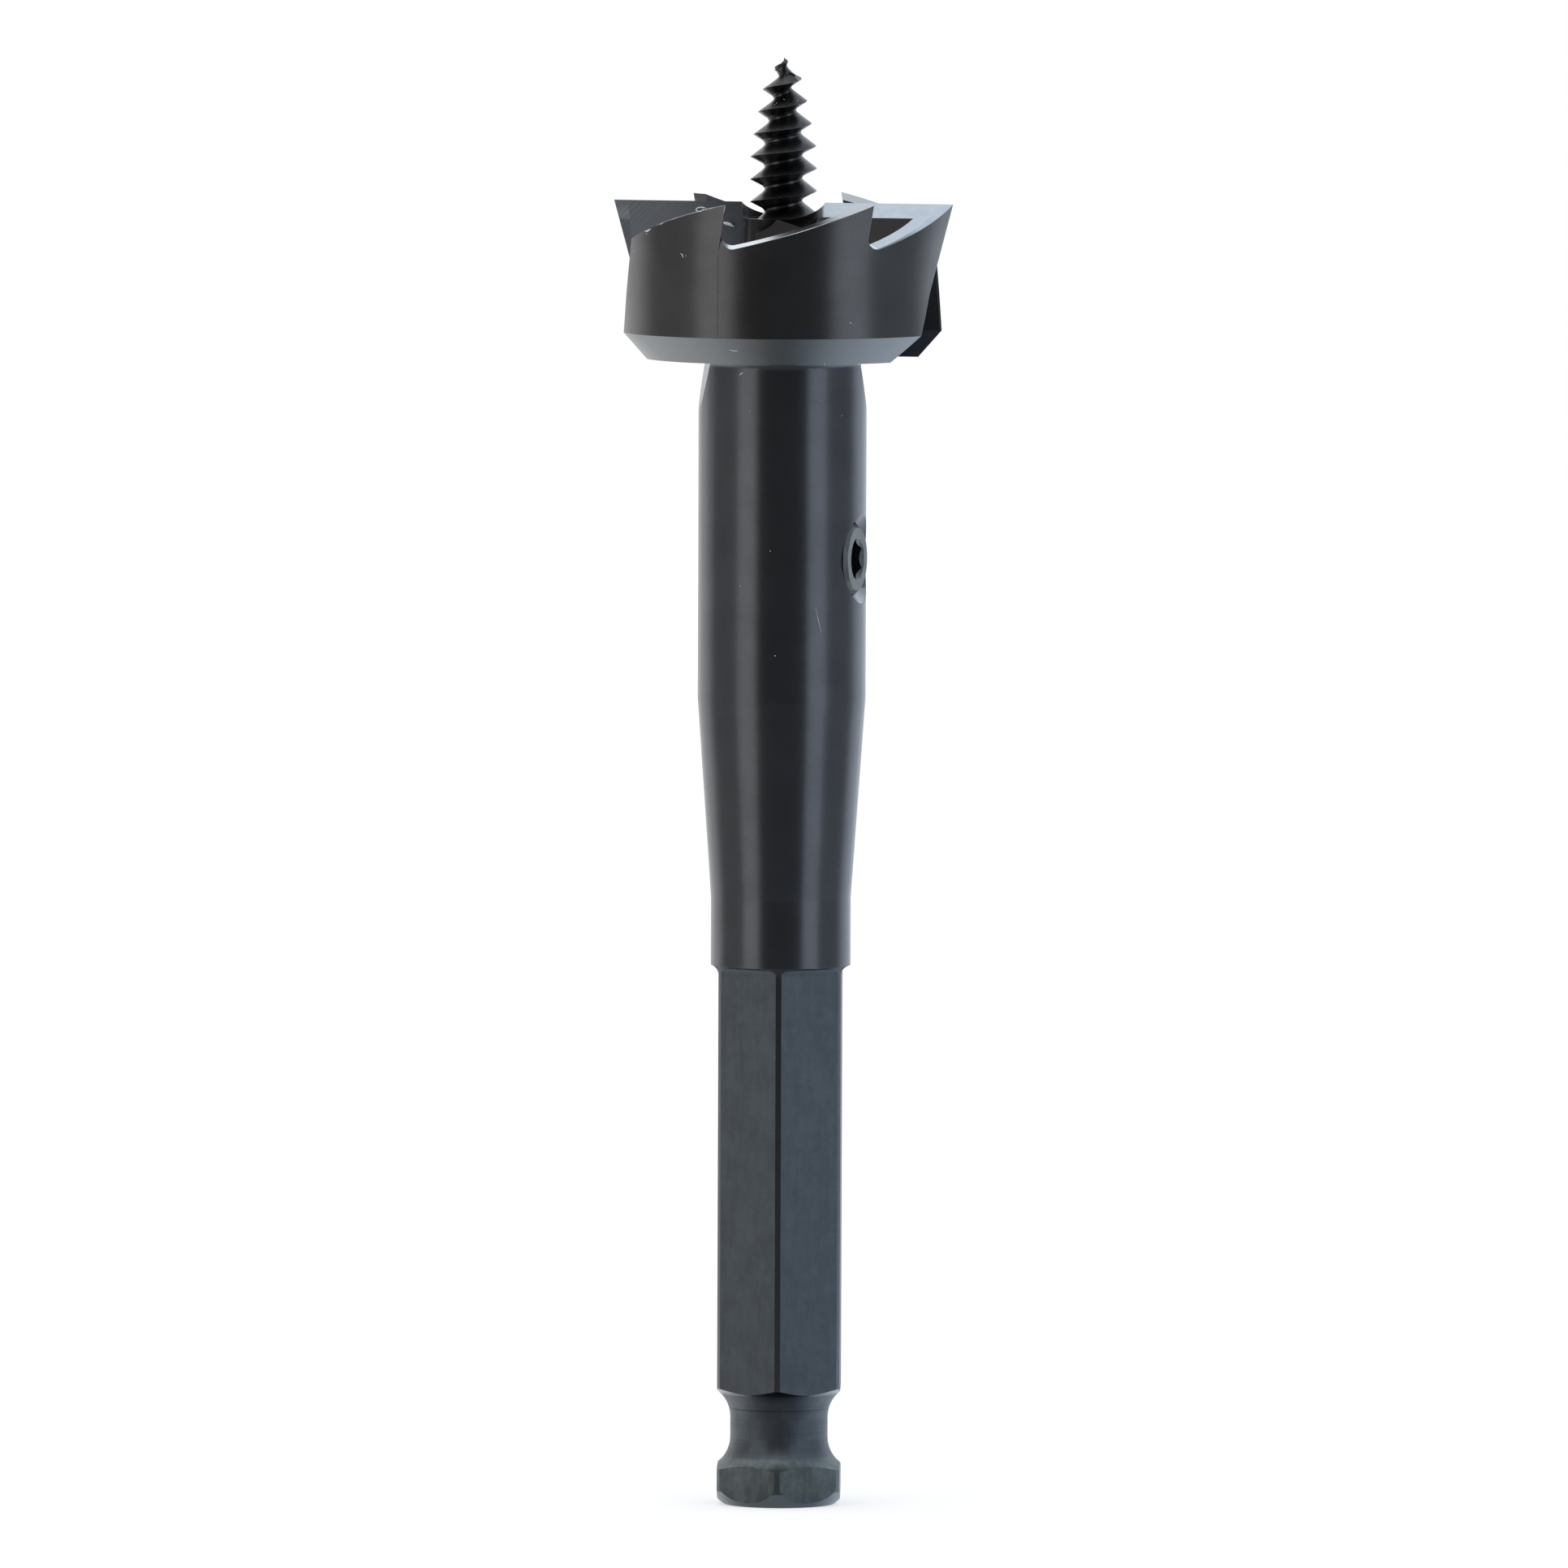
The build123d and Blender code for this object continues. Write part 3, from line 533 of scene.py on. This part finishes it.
def body_material():
    """Dark coated steel: rough hex, finely turned shank, ground head, bare lands."""
    material, g = new_material("coated_body_steel")
    place = g.place()
    z = g.split(place)[2]
    radius = g.length(g.vector("MULTIPLY", place, (1, 1, 0)))

    cloud = g.noise(place, *CLOUD)
    grain = g.noise(place, *GRAIN)
    rings = g.stretched_noise(place, *RINGS)
    streaks = g.stretched_noise(place, *STREAKS)

    flats = on_hex_flats(g, place)
    in_hex = g.math("MULTIPLY", flats, g.ramp(z, HEX_TOP + 0.1 * MM, HEX_TOP - 0.1 * MM))
    dull = g.largest(in_hex, in_groove(g, z))
    in_head = g.ramp(z, HEAD_BOTTOM - 0.3 * MM, HEAD_BOTTOM)
    lands = on_lands(g, place)
    rakes = on_rakes(g, place, radius)

    shank = shank_color(g, place, radius, z, flats, dull, cloud, rings, streaks)
    head = head_color(g, place, radius, z, lands, rakes, cloud, streaks)
    color = g.mix(in_head, shank, head)

    roughness = g.blend(dull, SHANK_ROUGHNESS, HEX_ROUGHNESS)
    roughness = g.blend(in_head, roughness, HEAD_ROUGHNESS)
    roughness = g.blend(lands, roughness, LAND_ROUGHNESS)
    roughness = g.blend(rakes, roughness, RAKE_ROUGHNESS)
    spread = g.math("MULTIPLY", g.math("SUBTRACT", grain, 0.5), ROUGHNESS_SPREAD)
    roughness = g.math("ADD", roughness, spread)

    height = g.math("ADD", g.math("MULTIPLY", rings, 0.5), g.math("MULTIPLY", grain, 0.5))
    metal(g, color, roughness, bumped(g, height, FINE_DEPTH, level_normal(g, place, radius)))
    return material


def screw_material():
    """Black oxide on a cut thread with worn crests, which mirrors as a round bar where steep."""
    material, g = new_material("black_screw_steel")
    place = g.place()
    grain = g.noise(place, *SCREW_GRAIN)
    color = g.uneven(g.noise(place, *SCREW_CLOUD), SCREW_TONES)
    worn = g.product(worn_edges(g, EDGE_WIDTH), SCREW_EDGE_SHARE)
    color = g.mix(worn, color, SCREW_EDGE_TONE)
    roughness = g.raised(grain, *SCREW_ROUGHNESS)
    steep = g.ramp(g.math("ABSOLUTE", g.split(g.normal())[2]), 0.4, 0.3)
    normal = g.blend(steep, g.normal(), g.outward(place), kind="VECTOR")
    metal(g, color, roughness, bumped(g, grain, FINE_DEPTH, normal))
    return material


def set_screw_material():
    """A rolled socket screw with a thin black coat."""
    material, g = new_material("set_screw_steel")
    place = g.place()
    grain = g.noise(place, *SET_SCREW_GRAIN)
    color = g.uneven(g.noise(place, *SET_SCREW_CLOUD), SET_SCREW_TONES)
    worn = g.product(worn_edges(g, SET_SCREW_EDGE_WIDTH), SET_SCREW_EDGE_SHARE)
    color = g.mix(worn, color, SET_SCREW_EDGE_TONE)
    roughness = g.raised(grain, *SET_SCREW_ROUGHNESS)
    metal(g, color, roughness, bumped(g, grain, COARSE_DEPTH))
    return material


def burr_glint_material():
    """Bare steel of a fresh burr, coloured bright as a painted glint."""
    material, g = new_material("bare_burr_steel_glint")
    grain = g.noise(g.place(), *BURR_GRAIN)
    color = g.uneven(grain, BURR_GLINT_TONES, 0.35, 0.65)
    metal(g, color, BURR_ROUGHNESS, bumped(g, grain, COARSE_DEPTH))
    return material


def lint_material():
    """Pale dull fibre and chips."""
    material, g = new_material("pale_lint")
    shader = g.node("ShaderNodeBsdfPrincipled")
    g.put(shader.inputs["Base Color"], g.uneven(g.noise(g.place(), *LINT_GRAIN), LINT_TONES))
    shader.inputs["Roughness"].default_value = LINT_ROUGHNESS
    g.surface(shader)
    return material


def dress(node, material):
    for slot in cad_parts[node].material_slots:
        slot.link = "OBJECT"
        slot.material = material


# Small things that lie on the bit: chips, a rim burr with a painted glint, a tip burr, lint and
# specks.
# Each is placed by the point of the picture where it shows, and set down on the surface that is
# seen there.


def camera_turn():
    pitch = math.atan((CAMERA_HEIGHT - AIM_HEIGHT) / CAMERA_DISTANCE)
    turn = Euler((math.radians(90) - pitch, 0, 0)).to_matrix()
    return turn @ Euler((0, 0, math.radians(CAMERA_ROLL))).to_matrix()


def ray(px, py):
    """Start and direction of the line of sight through a point of the picture."""
    half = IMAGE_WIDTH_PX / 2
    local = Vector(((px - half) / FOCAL_LENGTH_PX, (half - py) / FOCAL_LENGTH_PX, -1.0))
    return Vector(CAMERA_PLACE), (camera_turn() @ local).normalized()


def surface_of(node):
    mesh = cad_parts[node].data
    points = [vertex.co.copy() for vertex in mesh.vertices]
    return BVHTree.FromPolygons(points, [tuple(face.vertices) for face in mesh.polygons])


def seen_at(px, py):
    """The nearest point of the bit that is seen at a point of the picture, and its normal."""
    start, along = ray(px, py)
    hits = [surface.ray_cast(start, along) for surface in surfaces]
    hits = [hit for hit in hits if hit[0] is not None]
    if not hits:
        return None
    place, normal = min(hits, key=lambda hit: hit[3])[:2]
    return place, normal if normal.dot(along) < 0 else -normal


def at_depth(px, py, depth):
    """The point seen at a point of the picture, at a given depth along Y, and a normal."""
    start, along = ray(px, py)
    return start + along * ((depth - start.y) / along.y), Vector((0, -1, 0))


def follows(seen, path):
    return not path or (seen[0] - path[-1][0]).length < LARGEST_STEP


def laid(strand):
    """A strand's points on what is seen there, without those that fall through a gap."""
    path = []
    for px, py in strand:
        seen = seen_at(px, py)
        if seen and follows(seen, path):
            path.append(seen)
    return path


def on_wall(seen):
    return seen and seen[1].z <= 0.3 and math.hypot(seen[0].x, seen[0].y) >= WALL_RADIUS


def rim_edge_path():
    """The wall's top edge behind the left front tooth, found by looking down each column."""
    path = []
    for px in RIM_EDGE_COLUMNS:
        for step in range(RIM_EDGE_SEARCH_STEPS):
            seen = seen_at(px, RIM_EDGE_SEARCH_FROM + RIM_EDGE_SEARCH_STEP * step)
            if on_wall(seen) and follows(seen, path):
                path.append(seen)
                break
    return path


def ring_faces(first, count):
    """The faces between a ring of points and the next one."""
    sides = [(first + k, first + (k + 1) % count) for k in range(count)]
    return [(a, b, b + count, a + count) for a, b in sides]


def end_faces(first, last, count):
    """The faces that close the first and the last ring."""
    start = tuple(first + k for k in reversed(range(count)))
    return [start, tuple(last + k for k in range(count))]


def tube(points, faces, path, radius, flat=1.0):
    """Adds a closed strand that lies along (place, normal) pairs, with narrow ends."""
    if len(path) < 2:
        return
    first = len(points)
    last = len(path) - 1
    path = [(place + normal * (STRAND_LIFT * radius * flat), normal) for place, normal in path]
    for i, (place, normal) in enumerate(path):
        ahead = (path[min(i + 1, last)][0] - path[max(i - 1, 0)][0]).normalized()
        side = ahead.cross(normal).normalized()
        out = side.cross(ahead).normalized()
        size = radius * (STRAND_END if i in (0, last) else 1.0)
        for k in range(STRAND_SIDES):
            turn = 2 * math.pi * k / STRAND_SIDES
            aside, up = math.cos(turn) * size, math.sin(turn) * size * flat
            points.append(place + side * aside + out * up)
    for i in range(last):
        faces.extend(ring_faces(first + STRAND_SIDES * i, STRAND_SIDES))
    faces.extend(end_faces(first, first + STRAND_SIDES * last, STRAND_SIDES))


def speck(points, faces, px, py, size, seed):
    """Adds a tiny thick flake with an uneven outline that lies on what is seen there."""
    seen = seen_at(px, py)
    if seen is None:
        return
    place, normal = seen
    side = normal.orthogonal().normalized()
    other = normal.cross(side)
    first = len(points)
    for lift in (-SPECK_THICKNESS, SPECK_THICKNESS):
        for k in range(SPECK_SIDES):
            turn = 2 * math.pi * k / SPECK_SIDES
            reach = size * (0.75 + 0.25 * math.sin(seed + 2.3 * k))
            points.append(place + (side * math.cos(turn) + other * math.sin(turn)) * reach
                          + normal * (size * lift))
    faces.extend(end_faces(first, first + SPECK_SIDES, SPECK_SIDES))
    faces.extend(ring_faces(first, SPECK_SIDES))


def piece(name, points, faces, material):
    mesh = bpy.data.meshes.new(name)
    mesh.from_pydata([tuple(point) for point in points], [], faces)
    mesh.validate()
    mesh.materials.append(material)
    made = bpy.data.objects.new(name, mesh)
    bpy.context.scene.collection.objects.link(made)
    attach(made, "root")


def make_lint():
    """White chips, lint and dust."""
    points, faces = [], []
    for seed, (px, py, size) in enumerate(SPECKS):
        speck(points, faces, px, py, size * MM, seed)
    for strand, size, flat in STRANDS:
        tube(points, faces, laid(strand), size * MM, flat)
    depth = seen_at(*LOOP_FOOT)[0].y
    tube(points, faces, [at_depth(px, py, depth) for px, py in LOOP], LOOP_SIZE * MM)
    piece("lint_and_chips", points, faces, lint_material())


def make_rim_burr_glint():
    """A burr that the cutter left along the rim's edge and down beside the throat, coloured bright
    as a painted glint.
    """
    points, faces = [], []
    tube(points, faces, rim_edge_path(), RIM_EDGE_SIZE * MM)
    tube(points, faces, laid(THROAT_EDGE), THROAT_EDGE_SIZE * MM)
    piece("rim_burr_glint", points, faces, burr_glint_material())


def make_tip_burr(material):
    """The bent end of the thread: a crowned, hooked flap on the screw's point."""
    outline = [at_depth(px, py, TIP_DEPTH)[0] for px, py in TIP_OUTLINE]
    count = len(outline)
    middle = sum(outline, Vector()) / count
    points, faces = [], []
    for share, offset in TIP_LAYERS:
        points.extend(middle.lerp(point, share) + Vector((0, offset * MM, 0)) for point in outline)
    last = len(TIP_LAYERS) - 1
    for layer in range(last):
        faces.extend(ring_faces(layer * count, count))
    faces.extend(end_faces(0, last * count, count))
    piece("tip_burr", points, faces, material)


# Studio


def make_camera():
    data = bpy.data.cameras.new("camera")
    data.sensor_width = SENSOR_WIDTH
    data.lens = FOCAL_LENGTH_PX * SENSOR_WIDTH / IMAGE_WIDTH_PX
    data.clip_end = CAMERA_REACH
    camera = bpy.data.objects.new("camera", data)
    bpy.context.scene.collection.objects.link(camera)
    camera.location = CAMERA_PLACE
    camera.rotation_euler = camera_turn().to_euler()
    bpy.context.scene.camera = camera
    bpy.context.scene.view_settings.view_transform = "Standard"


def angle_aside(g, place):
    """The angle round the bit from the viewer's direction, in degrees, the same on both sides."""
    x, y, _ = g.split(place)
    angle = g.math("ARCTAN2", x, g.math("MULTIPLY", y, -1.0))
    return g.math("ABSOLUTE", g.math("MULTIPLY", angle, 180 / math.pi))


def tint(g, place, seen):
    """The light from the right is bluer than that from the left, and what is seen is white."""
    side = g.ramp(g.split(g.vector("NORMALIZE", place))[0], -TINT_REACH, TINT_REACH)
    return g.mix(seen, g.mix(side, LEFT_TINT, RIGHT_TINT), WHITE)


def room_light(g, aside, front_light):
    """The light at eye level: a dim front, a tall soft box on each side, and white behind."""
    front = g.ramp(aside, BOX_TO, BOX_TO + BOX_EDGE, front_light, SIDE_LIGHT)
    box = g.math("MULTIPLY", g.band(aside, BOX_FROM, BOX_TO, BOX_EDGE), BOX_LIGHT)
    behind = g.ramp(aside, BACKDROP_FROM, BACKDROP_FULL)
    return g.largest(front, box, behind)


def table_light(g, place):
    """How bright the bit mirrors the table: dim in front, and white at the sides and behind."""
    aside = angle_aside(g, place)
    away = g.length(place)
    near = g.ramp(aside, TABLE_FROM, TABLE_FULL, TABLE_FRONT_LIGHT, TABLE_BACK_LIGHT)
    ahead = g.ramp(away, TABLE_AHEAD_NEAR, TABLE_AHEAD_FAR, TABLE_AHEAD_LIGHT, FRONT_LIGHT)
    return g.blend(g.ramp(away, TABLE_NEAR, TABLE_FAR), near, room_light(g, aside, ahead))


def table_material():
    """White to the camera with the bit's light shadow on it."""
    material, g = new_material("white_table")
    path = g.node("ShaderNodeLightPath").outputs
    place = g.place()
    diffuse = g.node("ShaderNodeBsdfDiffuse")
    diffuse.inputs["Color"].default_value = TABLE_TONE
    glow = g.node("ShaderNodeEmission")
    g.put(glow.inputs["Color"], tint(g, place, path["Is Camera Ray"]))
    strength = g.blend(path["Is Camera Ray"], table_light(g, place), TABLE_WHITE)
    g.put(glow.inputs["Strength"], strength)
    shown = g.math("MULTIPLY", path["Is Camera Ray"], TABLE_GLOW_SHARE)
    blend = g.node("ShaderNodeMixShader")
    g.put(blend.inputs[0], g.largest(shown, path["Is Glossy Ray"], path["Is Transmission Ray"]))
    g.put(blend.inputs[1], diffuse.outputs[0])
    g.put(blend.inputs[2], glow.outputs[0])
    g.surface(blend)
    return material


def make_table():
    mesh = bpy.data.meshes.new("floor")
    reach = TABLE_REACH
    corners = [(-reach, -reach, 0), (reach, -reach, 0), (reach, reach, 0), (-reach, reach, 0)]
    mesh.from_pydata(corners, [], [(0, 1, 2, 3)])
    mesh.materials.append(table_material())
    table = bpy.data.objects.new("floor", mesh)
    bpy.context.scene.collection.objects.link(table)


def make_world():
    """The room at eye level, softer light overhead, and white where the camera sees it."""
    world = bpy.data.worlds.new("studio")
    bpy.context.scene.world = world
    world.use_nodes = True
    g = Graph(world.node_tree)
    place = g.node("ShaderNodeTexCoord").outputs["Generated"]
    path = g.node("ShaderNodeLightPath").outputs
    above = g.ramp(g.split(place)[2], TOP_FROM, TOP_FULL)
    value = g.blend(above, room_light(g, angle_aside(g, place), FRONT_LIGHT), TOP_LIGHT)
    value = g.blend(path["Is Diffuse Ray"], value, DIFFUSE_LIGHT)
    seen = g.largest(path["Is Camera Ray"], path["Is Transmission Ray"])
    background = g.node("ShaderNodeBackground")
    g.put(background.inputs["Color"], tint(g, place, seen))
    g.put(background.inputs["Strength"], g.math("MAXIMUM", value, seen))
    g.surface(background, "ShaderNodeOutputWorld")


def make_lamp():
    """A soft lamp overhead, which gives the bit its light shadow on the table."""
    data = bpy.data.lights.new("top_box", "AREA")
    data.shape = "SQUARE"
    data.size = LAMP_SIZE
    data.energy = LAMP_POWER
    lamp = bpy.data.objects.new("top_box", data)
    bpy.context.scene.collection.objects.link(lamp)
    lamp.location = LAMP_PLACE
    lamp.rotation_euler = (-lamp.location).to_track_quat("-Z", "Y").to_euler()


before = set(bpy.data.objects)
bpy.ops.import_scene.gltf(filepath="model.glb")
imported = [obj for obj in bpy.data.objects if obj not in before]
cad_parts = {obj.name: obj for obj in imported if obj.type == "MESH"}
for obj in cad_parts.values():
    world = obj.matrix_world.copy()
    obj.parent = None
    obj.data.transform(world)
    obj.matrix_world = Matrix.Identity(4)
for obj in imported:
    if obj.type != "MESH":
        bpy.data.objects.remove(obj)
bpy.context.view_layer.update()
thread_steel = screw_material()
dress("bit_body", body_material())
dress("feed_screw", thread_steel)
dress("set_screw", set_screw_material())
surfaces = [surface_of(node) for node in ("bit_body", "feed_screw", "set_screw")]
make_lint()
make_rim_burr_glint()
make_tip_burr(thread_steel)
make_table()
make_world()
make_lamp()
make_camera()
